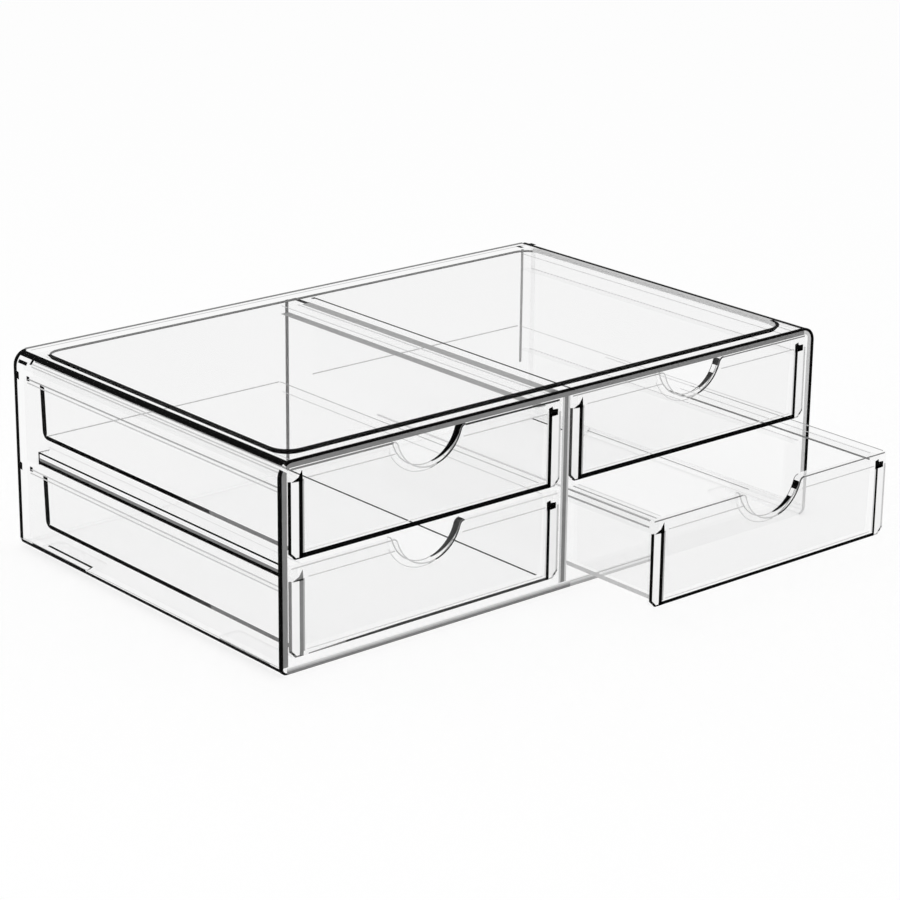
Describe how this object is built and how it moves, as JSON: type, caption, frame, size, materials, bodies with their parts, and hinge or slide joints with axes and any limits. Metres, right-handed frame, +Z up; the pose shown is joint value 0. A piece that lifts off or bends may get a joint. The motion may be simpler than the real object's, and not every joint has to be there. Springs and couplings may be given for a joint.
{
  "type": "drawer organiser",
  "caption": "Clear plastic desk organiser: a low open-fronted case with pull-out drawers side by side in two levels, finger notches in the drawer fronts and a shallow tray in the top.",
  "frame": {"origin": "middle of the flat underside of the case, which the feet stand 0.8 mm below", "axes": "+Z up, +X to the right as seen from the front, the open front of the case faces -Y"},
  "size_m": [0.32, 0.2568, 0.0958],
  "materials": {
    "clear": "gloss",
    "soft_clear": "satin"
  },
  "bodies": {
    "case": {"case_shell": "clear", "centre_divider": "clear", "front_left_foot": "soft_clear", "front_right_foot": "soft_clear", "back_left_foot": "soft_clear", "back_right_foot": "soft_clear"},
    "upper_left_drawer": {"upper_left_drawer": "clear"},
    "upper_right_drawer": {"upper_right_drawer": "clear"},
    "lower_left_drawer": {"lower_left_drawer": "clear"},
    "lower_right_drawer": {"lower_right_drawer": "clear"}
  },
  "joints": [
    {"name": "upper_left_drawer_slide", "type": "slide", "parent": "case", "child": "upper_left_drawer", "axis": [0, -1, 0], "range_m": [0, 0.15]},
    {"name": "upper_right_drawer_slide", "type": "slide", "parent": "case", "child": "upper_right_drawer", "axis": [0, -1, 0], "range_m": [0, 0.15]},
    {"name": "lower_left_drawer_slide", "type": "slide", "parent": "case", "child": "lower_left_drawer", "axis": [0, -1, 0], "range_m": [0, 0.15]},
    {"name": "lower_right_drawer_slide", "type": "slide", "parent": "case", "child": "lower_right_drawer", "axis": [0, -1, 0], "range_m": [-0.054, 0.096]}
  ]
}
